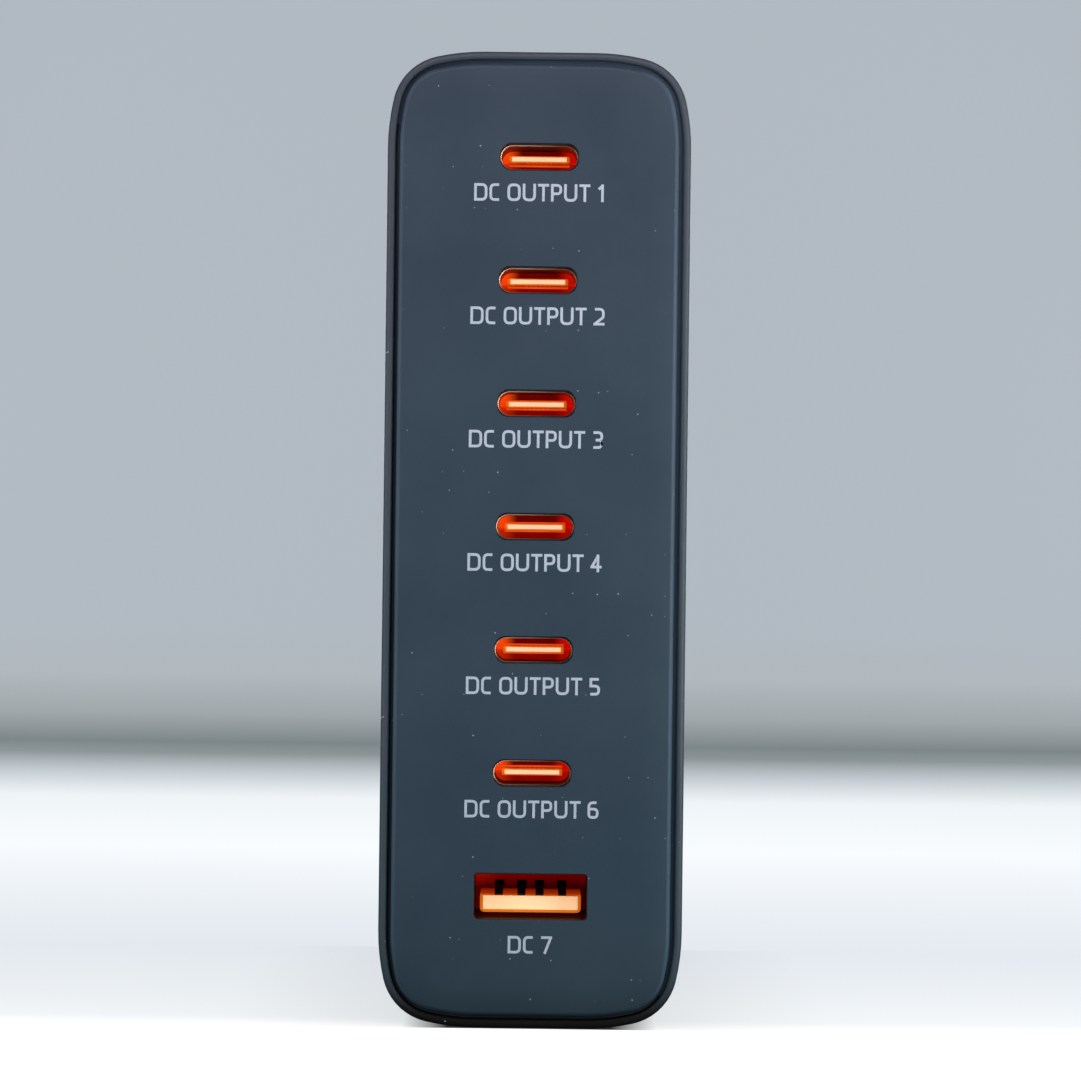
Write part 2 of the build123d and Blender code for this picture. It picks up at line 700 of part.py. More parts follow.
# Switch heat sink: finned aluminium bar that stands on the main board
with BuildPart() as switch_heatsink:
    sink_y = column_y[2]
    sink_z = magnet_z[3]
    with BuildSketch(part_plane):
        with Locations((sink_y, sink_z - (heatsink_size[1] - heatsink_plate) / 2)):
            Rectangle(heatsink_size[0], heatsink_plate)
        with Locations((sink_y, sink_z)):
            with GridLocations((heatsink_size[0] - heatsink_fin) / (heatsink_fins - 1), 0, heatsink_fins, 1):
                Rectangle(heatsink_fin, heatsink_size[1])
    extrude(amount=heatsink_size[2])
save(switch_heatsink.part, "switch_heatsink")

# Boxed parts: interference capacitor, rectifier with its tab hole, fuse
with BuildPart() as x_capacitor:
    with BuildSketch(part_plane):
        with Locations((x_capacitor_y, filter_row_z)):
            Rectangle(x_capacitor_size[0], x_capacitor_size[1])
    extrude(amount=x_capacitor_size[2])
    fillet(x_capacitor.edges().filter_by(Axis.X), box_edge_r)
save(x_capacitor.part, "x_capacitor")

with BuildPart() as bridge_rectifier:
    with BuildSketch(part_plane):
        with Locations((rectifier_y, filter_row_z)):
            Rectangle(rectifier_size[0], rectifier_size[1])
    extrude(amount=rectifier_size[2])
    with BuildSketch(Plane.XZ.offset(-rectifier_y)):
        with Locations((part_side_x + rectifier_size[2] - rectifier_hole_drop, filter_row_z)):
            Circle(rectifier_hole_r)
    extrude(amount=rectifier_size[0], both=True, mode=Mode.SUBTRACT)
save(bridge_rectifier.part, "bridge_rectifier")

with BuildPart() as fuse:
    with BuildSketch(part_plane):
        with Locations((fuse_y, guard_row_z)):
            Rectangle(fuse_size[0], fuse_size[1])
    extrude(amount=fuse_size[2])
    fillet(fuse.edges().filter_by(Axis.X), box_edge_r)
save(fuse.part, "fuse")


def disc_part(radius, thick, y, z):
    """Coated disc that stands on two leads, edge-on to the main board."""
    with BuildPart() as disc:
        with BuildSketch(Plane.XY.offset(z - thick / 2)):
            with Locations((part_side_x + disc_lift + radius, y)):
                Circle(radius)
        extrude(amount=thick)
        with BuildSketch(part_plane):
            with Locations((y - disc_lead_pitch / 2, z), (y + disc_lead_pitch / 2, z)):
                Circle(disc_lead_r)
        extrude(amount=disc_lift + radius)
    return disc.part


save(disc_part(varistor_r, varistor_t, varistor_y, guard_row_z), "varistor")
save(disc_part(safety_r, safety_t, column_y[3], safety_z), "safety_capacitor")
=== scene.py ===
import math
import bmesh
import bpy
from mathutils import Matrix, Vector


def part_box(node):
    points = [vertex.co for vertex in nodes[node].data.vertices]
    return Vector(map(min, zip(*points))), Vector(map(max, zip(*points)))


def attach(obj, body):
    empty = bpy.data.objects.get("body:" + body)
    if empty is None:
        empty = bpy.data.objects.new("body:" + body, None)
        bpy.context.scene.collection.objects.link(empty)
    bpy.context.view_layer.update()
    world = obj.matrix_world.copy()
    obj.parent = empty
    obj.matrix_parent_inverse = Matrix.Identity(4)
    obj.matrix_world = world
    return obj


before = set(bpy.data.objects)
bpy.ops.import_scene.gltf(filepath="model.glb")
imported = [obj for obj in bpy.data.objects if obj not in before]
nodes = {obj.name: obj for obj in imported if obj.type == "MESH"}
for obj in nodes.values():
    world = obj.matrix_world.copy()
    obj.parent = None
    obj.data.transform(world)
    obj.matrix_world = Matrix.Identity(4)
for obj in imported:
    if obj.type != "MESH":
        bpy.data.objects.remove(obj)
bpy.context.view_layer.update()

# Camera.
# It looks square on to the front of the charger at about half its height, from 0.43 m off with a long lens.
# A small roll gives the lean that the charger has in the picture.
MM = 0.001
housing_low, housing_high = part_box("housing_shell")
rim_y = housing_low[1]
mid_z = (housing_low[2] + housing_high[2]) / 2
# Measured in the picture, in pixels: its side, and the height and the middle of the charger.
picture_side = 1081.0
charger_pixels = 976.85
charger_pixel_x, charger_pixel_y = 534.75, 540.25
pixel = (housing_high[2] - housing_low[2]) / charger_pixels
view_distance = 430 * MM
view_roll = math.radians(0.7)

camera_data = bpy.data.cameras.new("camera")
camera_data.sensor_width = 36
camera_data.lens = camera_data.sensor_width * view_distance / (picture_side * pixel)
camera_data.clip_start = 0.01
camera = bpy.data.objects.new("camera", camera_data)
camera.location = (
    (picture_side / 2 - charger_pixel_x) * pixel,
    rim_y - view_distance,
    mid_z + (charger_pixel_y - picture_side / 2) * pixel,
)
level_view = Matrix.Rotation(math.pi / 2, 4, "X")
camera.rotation_euler = (level_view @ Matrix.Rotation(view_roll, 4, "Z")).to_euler()
bpy.context.scene.collection.objects.link(camera)
bpy.context.scene.camera = camera
bpy.context.scene.view_settings.view_transform = "Standard"


# Floor, backdrop and lights.
# A pale table top that ends a good way behind the charger, at a grey wall; both are painted, and
# painted shade darkens them where they meet.
# The light is soft: a lamp on each side of the camera, a wide one above, one close to each edge of the
# front, and two behind that show the rear.
def add_node(tree, kind, **inputs):
    """Add a shader node and set the inputs that are named."""
    node = tree.nodes.new(kind)
    for name, value in inputs.items():
        node.inputs[name.replace("_", " ")].default_value = value
    return node


def ramp_node(tree, source, stops):
    """Colour ramp fed by source, with (place, colour) stops."""
    node = tree.nodes.new("ShaderNodeValToRGB")
    band = node.color_ramp
    while len(band.elements) < len(stops):
        band.elements.new(1.0)
    for element, (place, colour) in zip(band.elements, stops):
        element.position = place
        element.color = (*colour, 1)
    tree.links.new(source, node.inputs["Fac"])
    return node.outputs["Color"]


def blank_material(name):
    """New material with only its output node; gives the material and its tree."""
    material = bpy.data.materials.new(name)
    material.use_nodes = True
    tree = material.node_tree
    tree.nodes.clear()
    tree.nodes.new("ShaderNodeOutputMaterial")
    return material, tree


def reckon(tree, operation, *terms):
    """Maths node with numbers or sockets as its terms; gives its output."""
    node = tree.nodes.new("ShaderNodeMath")
    node.operation = operation
    for socket, term in zip(node.inputs, terms):
        if isinstance(term, (int, float)):
            socket.default_value = term
        else:
            tree.links.new(term, socket)
    return node.outputs["Value"]


def between(tree, source, low, high, first=0.0, last=1.0):
    """Value that runs from first to last while source runs from low to high."""
    node = add_node(tree, "ShaderNodeMapRange", From_Min=low, From_Max=high, To_Min=first, To_Max=last)
    tree.links.new(source, node.inputs["Value"])
    return node.outputs["Result"]


def own_place(tree):
    """X, Y and Z of the object's own coordinates."""
    place = tree.nodes.new("ShaderNodeTexCoord")
    split = tree.nodes.new("ShaderNodeSeparateXYZ")
    tree.links.new(place.outputs["Object"], split.inputs[0])
    return split.outputs["X"], split.outputs["Y"], split.outputs["Z"]


def scaled(tree, colour, level):
    """Colour times a level."""
    node = tree.nodes.new("ShaderNodeVectorMath")
    node.operation = "SCALE"
    tree.links.new(colour, node.inputs[0])
    tree.links.new(level, node.inputs["Scale"])
    return node.outputs["Vector"]


def seen_directly(tree):
    """1 for rays from the camera or through glass, 0 for rays that only carry light."""
    path = tree.nodes.new("ShaderNodeLightPath")
    return reckon(tree, "MAXIMUM", path.outputs["Is Camera Ray"], path.outputs["Is Transmission Ray"])


world = bpy.data.worlds.new("room")
bpy.context.scene.world = world
world.use_nodes = True
world.node_tree.nodes["Background"].inputs["Color"].default_value = (0.80, 0.90, 1.0, 1)
world.node_tree.nodes["Background"].inputs["Strength"].default_value = 0.14


# The shadow under the foot is dark out to its core, clear at its end, and has a long faint tail.
shadow_core, shadow_end, shadow_level = 9.0 * MM, 14.0 * MM, 0.03
tail_start, tail_end, tail_level = 13.0 * MM, 34.0 * MM, 0.90
shadow_front = (rim_y - 0.4 * MM, rim_y - 0.1 * MM)
shadow_rear = (housing_high[1] - 3 * MM, housing_high[1] + 1 * MM)


def stage_paint(name, axis, low, high, stops):
    """Paint for the surroundings: toned along one axis and dark under the foot where it is seen, and a dim
    plain grey where it only sends light."""
    material, tree = blank_material(name)
    across, inward, up = own_place(tree)
    tone = ramp_node(tree, between(tree, {"Y": inward, "Z": up}[axis], low, high), stops)
    off_middle = reckon(tree, "ABSOLUTE", across)
    past_core = between(tree, off_middle, shadow_core, shadow_end, shadow_level, 1.0)
    past_tail = between(tree, off_middle, tail_start, tail_end, tail_level, 1.0)
    clear_side = reckon(tree, "MULTIPLY", past_core, past_tail)
    clear_front = between(tree, inward, *shadow_front, 1.0, 0.0)
    clear_rear = between(tree, inward, *shadow_rear)
    clear = reckon(tree, "MAXIMUM", reckon(tree, "MAXIMUM", clear_side, clear_front), clear_rear)
    tone = scaled(tree, tone, clear)
    matte = add_node(tree, "ShaderNodeBsdfDiffuse", Roughness=0.6)
    glow = add_node(tree, "ShaderNodeEmission", Strength=0.91)
    dim = add_node(tree, "ShaderNodeBsdfDiffuse", Color=(0.16, 0.17, 0.18, 1), Roughness=0.6)
    tree.links.new(tone, matte.inputs["Color"])
    tree.links.new(tone, glow.inputs["Color"])
    seen = add_node(tree, "ShaderNodeMixShader", Fac=0.90)
    tree.links.new(matte.outputs[0], seen.inputs[1])
    tree.links.new(glow.outputs[0], seen.inputs[2])
    mix = tree.nodes.new("ShaderNodeMixShader")
    tree.links.new(seen_directly(tree), mix.inputs[0])
    tree.links.new(dim.outputs[0], mix.inputs[1])
    tree.links.new(seen.outputs[0], mix.inputs[2])
    tree.links.new(mix.outputs[0], tree.nodes["Material Output"].inputs["Surface"])
    return material


def stage_sheet(name, corners, paint):
    """Flat sheet of the surroundings."""
    mesh = bpy.data.meshes.new(name)
    mesh.from_pydata(corners, [], [(0, 1, 2, 3)])
    mesh.materials.append(paint)
    sheet = bpy.data.objects.new(name, mesh)
    bpy.context.scene.collection.objects.link(sheet)


table_front, table_back, room_half, wall_top = -1.6, 0.55, 1.6, 1.5
table_tone_start, wall_tone_end = -0.10, 0.03
# The table is greyer from the charger's front edge back and painted darker near the wall, and the wall's foot
# is darker: painted shade where they meet.
table_paint = stage_paint("table_paint", "Y", table_tone_start, table_back, [
    (0.000, (1.16, 1.16, 1.16)), (0.085, (1.14, 1.15, 1.15)), (0.102, (0.92, 0.96, 0.98)),
    (0.215, (0.88, 0.93, 0.99)), (0.469, (1.09, 1.13, 1.16)), (0.669, (0.99, 1.04, 1.07)),
    (0.800, (0.62, 0.68, 0.72)), (0.920, (0.30, 0.34, 0.35)), (1.000, (0.24, 0.28, 0.29))])
wall_paint = stage_paint("wall_paint", "Z", 0.0, wall_tone_end, [
    (0.00, (0.24, 0.28, 0.29)), (0.25, (0.42, 0.46, 0.48)),
    (0.60, (0.52, 0.57, 0.61)), (1.00, (0.52, 0.57, 0.63))])
stage_sheet("table_top", [(-room_half, table_front, 0), (room_half, table_front, 0),
                          (room_half, table_back, 0), (-room_half, table_back, 0)], table_paint)
stage_sheet("wall", [(-room_half, table_back, 0), (room_half, table_back, 0),
                     (room_half, table_back, wall_top), (-room_half, table_back, wall_top)], wall_paint)


def soft_light(name, place, target, size, power, colour):
    """Oblong area light at place that faces target."""
    data = bpy.data.lights.new(name, "AREA")
    data.shape = "RECTANGLE"
    data.size, data.size_y = size
    data.energy = power
    data.color = colour
    lamp = bpy.data.objects.new(name, data)
    lamp.location = place
    lamp.rotation_euler = (Vector(target) - Vector(place)).to_track_quat("-Z", "Y").to_euler()
    bpy.context.scene.collection.objects.link(lamp)


front_mid, charger_mid = (0, rim_y, mid_z), (0, 0, mid_z)
soft_light("light_right", (0.25, -0.58, 0.030), front_mid, (0.10, 0.05), 0.60, (0.80, 1.0, 0.94))
soft_light("light_left", (-0.25, -0.58, 0.035), front_mid, (0.10, 0.05), 0.35, (0.80, 1.0, 0.94))
soft_light("light_above", (0.0, -0.19, 0.235), front_mid, (0.30, 0.10), 0.56, (1.0, 0.88, 0.92))
soft_light("light_beside_right", (0.080, -0.080, 0.060), front_mid, (0.03, 0.11), 0.110, (1.0, 0.95, 0.89))
soft_light("light_beside_left", (-0.080, -0.080, 0.060), front_mid, (0.03, 0.11), 0.055, (1.0, 0.98, 0.93))
soft_light("light_rear_right", (0.26, 0.50, 0.12), charger_mid, (0.16, 0.16), 0.8, (1.0, 1.0, 1.0))
soft_light("light_rear_left", (-0.26, 0.50, 0.12), charger_mid, (0.16, 0.16), 0.7, (1.0, 1.0, 1.0))


# Boards.
# Two glass-fibre laminates with a green solder mask: the main board stands along one broad side of the
# housing, the port board across the front behind the receptacles.
def group_of(name, inputs, outputs):
    """New shader node group with float or vector sockets; gives the group, its input and output nodes."""
    group = bpy.data.node_groups.new(name, "ShaderNodeTree")
    for label, kind, value in inputs:
        socket = group.interface.new_socket(label, in_out="INPUT", socket_type=kind)
        socket.default_value = value
    for label, kind in outputs:
        group.interface.new_socket(label, in_out="OUTPUT", socket_type=kind)
    return group, group.nodes.new("NodeGroupInput"), group.nodes.new("NodeGroupOutput")


# uneven_tone: soft mottling in the object's own coordinates, as a mask from 0 to 1.
uneven_tone, ends_in, ends_out = group_of("uneven_tone", [("Scale", "NodeSocketFloat", 200.0)],
                                          [("Mask", "NodeSocketFloat")])
place = uneven_tone.nodes.new("ShaderNodeTexCoord")
noise = add_node(uneven_tone, "ShaderNodeTexNoise", Detail=3.0, Roughness=0.55)
spread = add_node(uneven_tone, "ShaderNodeMapRange", From_Min=0.32, From_Max=0.68)
uneven_tone.links.new(place.outputs["Object"], noise.inputs["Vector"])
uneven_tone.links.new(ends_in.outputs["Scale"], noise.inputs["Scale"])
uneven_tone.links.new(noise.outputs["Fac"], spread.inputs["Value"])
uneven_tone.links.new(spread.outputs["Result"], ends_out.inputs["Mask"])

# fine_grain: height of a moulded, cast or rolled surface, stretched along one direction where it was drawn.
fine_grain, ends_in, ends_out = group_of(
    "fine_grain", [("Scale", "NodeSocketFloat", 6000.0), ("Stretch", "NodeSocketVector", (1, 1, 1))],
    [("Height", "NodeSocketFloat")])
place = fine_grain.nodes.new("ShaderNodeTexCoord")
shape = fine_grain.nodes.new("ShaderNodeVectorMath")
shape.operation = "MULTIPLY"
noise = add_node(fine_grain, "ShaderNodeTexNoise", Detail=2.0, Roughness=0.6)
fine_grain.links.new(place.outputs["Object"], shape.inputs[0])
fine_grain.links.new(ends_in.outputs["Stretch"], shape.inputs[1])
fine_grain.links.new(shape.outputs["Vector"], noise.inputs["Vector"])
fine_grain.links.new(ends_in.outputs["Scale"], noise.inputs["Scale"])
fine_grain.links.new(noise.outputs["Fac"], ends_out.inputs["Height"])


def group_node(tree, group, **inputs):
    """Use of a node group in a material, with the inputs that are named."""
    node = tree.nodes.new("ShaderNodeGroup")
    node.node_tree = group
    for name, value in inputs.items():
        node.inputs[name].default_value = value
    return node


def finish_skin(tree, skin, grain_scale, grain_depth, stretch=(1, 1, 1), strength=0.5, under=None):
    """Grain a skin, over the normal under it where there is one, and make it what the material shows."""
    grain = group_node(tree, fine_grain, Scale=grain_scale, Stretch=stretch)
    bump = add_node(tree, "ShaderNodeBump", Strength=strength, Distance=grain_depth)
    tree.links.new(grain.outputs["Height"], bump.inputs["Height"])
    if under is not None:
        tree.links.new(under, bump.inputs["Normal"])
    tree.links.new(bump.outputs["Normal"], skin.inputs["Normal"])
    tree.links.new(skin.outputs["BSDF"], tree.nodes["Material Output"].inputs["Surface"])


def surface(name, dark, light, roughness, tone_scale, grain_scale, grain_depth,
            stretch=(1, 1, 1), metallic=0.0, shine=0.5):
    """Material mottled between two colours and two roughnesses, with a grained surface. The scales are per
    metre and the grain's depth is in metres; a small value in stretch draws the grain out along that axis."""
    material, tree = blank_material(name)
    skin = add_node(tree, "ShaderNodeBsdfPrincipled", Metallic=metallic, Specular_IOR_Level=shine)
    tone = group_node(tree, uneven_tone, Scale=tone_scale)
    colour = ramp_node(tree, tone.outputs["Mask"], [(0, dark), (1, light)])
    tree.links.new(colour, skin.inputs["Base Color"])
    rough = add_node(tree, "ShaderNodeMapRange", To_Min=roughness[0], To_Max=roughness[1])
    tree.links.new(tone.outputs["Mask"], rough.inputs["Value"])
    tree.links.new(rough.outputs["Result"], skin.inputs["Roughness"])
    finish_skin(tree, skin, grain_scale, grain_depth, stretch)
    return material


def dress(material, *names):
    """Give the named pieces of the frame this material."""
    for name in names:
        mesh = nodes[name].data
        mesh.materials.clear()
        mesh.materials.append(material)


board_mask = surface("board_mask", (0.012, 0.085, 0.035), (0.025, 0.13, 0.06),
                     (0.3, 0.45), 900, 9000, 0.00002)
dress(board_mask, "main_board", "port_board")

# Magnetics.
# Sintered ferrite cores, ground on their faces. The transformer is wound on a black bobbin and taped
# yellow; the choke and the inductor show bare enamelled wire.
ferrite = surface("ferrite", (0.028, 0.028, 0.031), (0.045, 0.045, 0.048),
                  (0.55, 0.75), 1500, 7000, 0.00003)
bobbin = surface("bobbin", (0.022, 0.022, 0.022), (0.034, 0.034, 0.034), (0.45, 0.6), 700, 9000, 0.00002)
tape = surface("winding_tape", (0.78, 0.56, 0.03), (0.88, 0.68, 0.07), (0.25, 0.4), 350, 4000, 0.00002,
               stretch=(1, 1, 6))
wire = surface("copper_wire", (0.50, 0.17, 0.05), (0.70, 0.30, 0.11), (0.22, 0.34), 900, 2400, 0.00012,
               stretch=(0.05, 1, 0.05), metallic=1.0)
dress(ferrite, "transformer_core", "pfc_core", "choke_core")
dress(bobbin, "transformer_bobbin")
dress(tape, "transformer_winding")
dress(wire, "pfc_winding", "choke_winding")

# Capacitors.
# Drawn aluminium cans: the two large ones in a dark shrunk sleeve, the small ones bare.
# The film capacitor is a yellow moulded box, the two discs are dipped in blue resin.
sleeve = surface("can_sleeve", (0.018, 0.018, 0.026), (0.030, 0.030, 0.042),
                 (0.25, 0.38), 250, 3000, 0.00002)
can = surface("can_bare", (0.70, 0.70, 0.72), (0.82, 0.82, 0.84), (0.24, 0.36), 600, 5000, 0.00001,
              stretch=(1, 0.1, 1), metallic=1.0)
film_box = surface("film_box", (0.74, 0.48, 0.04), (0.84, 0.60, 0.08), (0.35, 0.5), 500, 6000, 0.00002)
dipped = surface("disc_coating", (0.02, 0.09, 0.33), (0.04, 0.15, 0.46), (0.3, 0.45), 800, 3000, 0.00005)
dress(sleeve, "bulk_capacitor_1", "bulk_capacitor_2")
dress(can, "output_capacitors")
dress(film_box, "x_capacitor")
dress(dipped, "varistor", "safety_capacitor")

# Small parts on the boards.
# The port controllers and the bridge rectifier are black epoxy packages, the port inductors are pressed
# from iron powder, and the fuse has a brown moulded case. All are soldered to their board.
epoxy = surface("black_epoxy", (0.015, 0.015, 0.016), (0.028, 0.028, 0.029),
                (0.5, 0.65), 1200, 9000, 0.00003)
powder = surface("moulded_powder", (0.075, 0.075, 0.08), (0.11, 0.11, 0.115),
                 (0.6, 0.75), 2500, 8000, 0.00004)
fuse_case = surface("fuse_body", (0.08, 0.055, 0.03), (0.13, 0.09, 0.055), (0.4, 0.55), 900, 6000, 0.00002)
dress(epoxy, "port_controllers", "bridge_rectifier")
dress(powder, "port_inductors")
dress(fuse_case, "fuse")

# Heat path.
# A finned sink for the switches and a rolled plate against the wall, both of bare aluminium. A film and
# a soft grey silicone pad lie pressed between that plate and the main board.
aluminium = surface("bare_aluminium", (0.66, 0.67, 0.69), (0.80, 0.81, 0.83),
                    (0.28, 0.42), 500, 5000, 0.00002, stretch=(1, 1, 0.06), metallic=1.0)
film = surface("sheet_film", (0.76, 0.74, 0.66), (0.86, 0.84, 0.76), (0.2, 0.3), 300, 4000, 0.00001)
pad = surface("pad_silicone", (0.26, 0.29, 0.34), (0.34, 0.37, 0.42), (0.7, 0.85), 900, 5000, 0.00003)
dress(aluminium, "switch_heatsink", "heat_spreader")
dress(film, "insulating_sheet")
dress(pad, "thermal_pad")

# Mains inlet.
# A two-pole socket of black moulded plastic, clipped in the rear wall.
# Its two nickel-plated brass pins are moulded into its floor.
inlet = surface("inlet_plastic", (0.011, 0.012, 0.014), (0.019, 0.020, 0.022),
                (0.4, 0.55), 600, 8000, 0.00003)
nickel = surface("pin_nickel", (0.66, 0.65, 0.62), (0.76, 0.75, 0.73), (0.14, 0.24), 900, 6000, 0.00001,
                 stretch=(1, 0.05, 1), metallic=1.0)
dress(inlet, "inlet_socket")
dress(nickel, "inlet_pins")

# Receptacle shells.
# Drawn from thin steel strip and nickel plated, folded round the tongue; the drawing marks run front to
# back. Its colour is painted light: a painted highlight along the lead-in at the mouth, painted shade
# inside, and a painted glow of reflected red.
def port_middle(name):
    """Height of the middle of a receptacle."""
    low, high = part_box(name)
    return (low[2] + high[2]) / 2


def height_in_port(tree, up):
    """Height above the middle of the nearest port; the ports stand at an even pitch."""
    first, second = port_middle("usb_c_shell_1"), port_middle("usb_c_shell_2")
    steps = reckon(tree, "DIVIDE", reckon(tree, "SUBTRACT", up, first), first - second)
    off_step = reckon(tree, "SUBTRACT", steps, reckon(tree, "ROUND", steps))
    return reckon(tree, "MULTIPLY", off_step, first - second)


oval_shells = [f"usb_c_shell_{k}" for k in range(1, 7)]
mouth_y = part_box(oval_shells[0])[0][1]
mouth_reach = 1.0 * MM
shell_steel, tree = blank_material("port_steel")
skin = add_node(tree, "ShaderNodeBsdfPrincipled", Metallic=0.4, Emission_Strength=1.0)
across, inward, up = own_place(tree)
depth = between(tree, inward, mouth_y, mouth_y + mouth_reach)
# Painted light along the depth from the mouth: a painted highlight on the lead-in, painted shade with a red
# tint further in.
steel = ramp_node(tree, depth, [
    (0.00, (0.03, 0.02, 0.02)), (0.015, (0.03, 0.02, 0.02)), (0.03, (1.0, 0.68, 0.54)),
    (0.095, (1.0, 0.64, 0.48)), (0.11, (0.08, 0.02, 0.012)), (1.00, (0.04, 0.006, 0.003))])
# The emission is a painted gleam: a peach glint on the lead-in and a red reflection inside.
painted_gleam = ramp_node(tree, depth, [
    (0.00, (0.0, 0.0, 0.0)), (0.015, (0.0, 0.0, 0.0)), (0.03, (0.14, 0.06, 0.035)),
    (0.095, (0.14, 0.06, 0.035)), (0.11, (0.02, 0.0, 0.0)), (0.40, (0.10, 0.003, 0.0)),
    (1.00, (0.12, 0.004, 0.0))])
# Painted light: the rim is painted brighter at its left end and along its top; inside, only the ends of
# the oval ports get the painted gleam.
lit_end = between(tree, across, -3.8 * MM, 2.0 * MM, 1.0, 0.25)
lit_height = between(tree, height_in_port(tree, up), -0.9 * MM, 0.3 * MM, 0.12, 1.0)
colour = scaled(tree, steel, reckon(tree, "MULTIPLY", lit_end, lit_height))
tree.links.new(colour, skin.inputs["Base Color"])
off_middle = between(tree, reckon(tree, "ABSOLUTE", across), 1.5 * MM, 3.6 * MM, 0.1, 1.0)
inside = between(tree, depth, 0.10, 0.12)
in_oval_port = between(tree, up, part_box("usb_a_shell")[1][2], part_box(oval_shells[-1])[0][2])
off_middle = reckon(tree, "MULTIPLY", off_middle, in_oval_port)
share = reckon(tree, "MULTIPLY_ADD", inside, reckon(tree, "SUBTRACT", off_middle, lit_end), lit_end)
painted_gleam = scaled(tree, painted_gleam, reckon(tree, "MULTIPLY", share, lit_height))
tree.links.new(painted_gleam, skin.inputs["Emission Color"])
tree.links.new(between(tree, depth, 0, 1, 0.45, 0.60), skin.inputs["Roughness"])
finish_skin(tree, skin, grain_scale=9000.0, grain_depth=0.00001, stretch=(1, 0.06, 1))
dress(shell_steel, "usb_a_shell", *oval_shells)

# Receptacle tongues.
# One moulding of bright orange nylon each: a flat tongue on a thicker root, in front of the wall that
# closes the shell. Its colour carries painted light: a painted highlight makes the flat tip pale, painted
# shade deepens it to red towards the back, and it glows with painted light.
def add_colours(tree, first, second):
    """Sum of two colours."""
    node = tree.nodes.new("ShaderNodeVectorMath")
    tree.links.new(first, node.inputs[0])
    tree.links.new(second, node.inputs[1])
    return node.outputs["Vector"]


def facing(tree, kind):
    """X, Y and Z of the surface's normal of this kind."""
    geometry = tree.nodes.new("ShaderNodeNewGeometry")
    split = tree.nodes.new("ShaderNodeSeparateXYZ")
    tree.links.new(geometry.outputs[kind], split.inputs[0])
    return split.outputs["X"], split.outputs["Y"], split.outputs["Z"]


def laid_over(tree, colour, mask, over):
    """Colour with a plain one laid over it where the mask is 1."""
    mix = tree.nodes.new("ShaderNodeMix")
    mix.data_type = "RGBA"
    mix.inputs["B"].default_value = (*over, 1)
    tree.links.new(mask, mix.inputs["Factor"])
    tree.links.new(colour, mix.inputs["A"])
    return mix.outputs["Result"]


def tongue_plastic(name, names, wall_depth, wall_painted_glow, pale, tip_painted_glow, root_depth, painted_warm_glow, painted_light_at):
    """Orange moulding in painted light: painted shade deepens it along its own depth from a pale tip, a
    painted highlight, to a red back wall, and the front of its root is painted brighter. It glows with
    painted light; the back wall is dimmed by the painted shade that the last argument gives for a place,
    and what that gives as warmth is painted warm light."""
    tip_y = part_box(names[0])[0][1]
    material, tree = blank_material(name)
    skin = add_node(tree, "ShaderNodeBsdfPrincipled", Roughness=0.6, Specular_IOR_Level=0.0,
                    Emission_Strength=1.0)
    across, inward, up = own_place(tree)
    depth = between(tree, inward, tip_y, tip_y + wall_depth)
    # Painted shade: the orange deepens to red from the tip to the back wall; the glow is painted light.
    body = ramp_node(tree, depth, [
        (0.00, (1.0, 0.28, 0.03)), (0.20, (0.95, 0.10, 0.006)),
        (0.70, (0.90, 0.04, 0.001)), (1.00, (0.85, 0.005, 0.0))])
    glow = ramp_node(tree, depth, [
        (0.00, (0.45, 0.09, 0.006)), (0.30, (0.32, 0.02, 0.0)), (1.00, wall_painted_glow)])
    behind = between(tree, depth, 0.74, 0.90)
    level, painted_warmth = painted_light_at(tree, across, up)
    lost = reckon(tree, "MULTIPLY", reckon(tree, "SUBTRACT", 1.0, level), behind)
    level = reckon(tree, "SUBTRACT", 1.0, lost)
    # Painted highlight on the flat face of the tip, and painted light on the flat front of the root.
    lean_y = facing(tree, "True Normal")[1]
    flat = between(tree, lean_y, -0.985, -0.998)
    tip_highlight_mask = reckon(tree, "MULTIPLY", flat, between(tree, depth, 0.06, 0.03))
    off_root = reckon(tree, "ABSOLUTE", reckon(tree, "SUBTRACT", depth, root_depth / wall_depth))
    root = reckon(tree, "MULTIPLY", flat, between(tree, off_root, 0.08, 0.06))
    painted_warm_light = ramp_node(tree, painted_warmth, [(0, (0, 0, 0)), (1, painted_warm_glow)])
    glow = add_colours(tree, scaled(tree, glow, level), painted_warm_light)
    for source, root_colour, tip_colour, socket in (
            (scaled(tree, body, level), (1.0, 0.15, 0.015), pale, "Base Color"),
            (glow, (0.40, 0.045, 0.005), tip_painted_glow, "Emission Color")):
        colour = laid_over(tree, laid_over(tree, source, root, root_colour), tip_highlight_mask, tip_colour)
        tree.links.new(colour, skin.inputs[socket])
    finish_skin(tree, skin, grain_scale=7000.0, grain_depth=0.00002, strength=0.4)
    dress(material, *names)


def oval_painted_light(tree, across, up):
    """Painted shade in the middle above the tongue, painted light beyond its ends, and painted warm light at
    the upper left.
    """
    height = height_in_port(tree, up)
    middle = between(tree, height, -0.5 * MM, 0.7 * MM, 0.40, 0.22)
    at_end = between(tree, height, -0.5 * MM, 0.7 * MM, 0.80, 1.15)
    near_end = between(tree, reckon(tree, "ABSOLUTE", across), 2.2 * MM, 3.8 * MM)
    level = reckon(tree, "MULTIPLY_ADD", near_end, reckon(tree, "SUBTRACT", at_end, middle), middle)
    left = between(tree, across, -2.0 * MM, -3.4 * MM)
    return level, reckon(tree, "MULTIPLY", left, between(tree, height, -0.5 * MM, 0.3 * MM, 0.2, 1.0))


def flat_painted_light(tree, across, up):
    """Painted shade from the top of the opening down to the tongue, and painted warm light at the left."""
    level = between(tree, up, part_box("usb_a_contacts")[0][2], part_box("usb_a_tongue")[1][2], 0.20, 1.0)
    return level, reckon(tree, "MULTIPLY", level, between(tree, across, -3.0 * MM, -5.5 * MM))


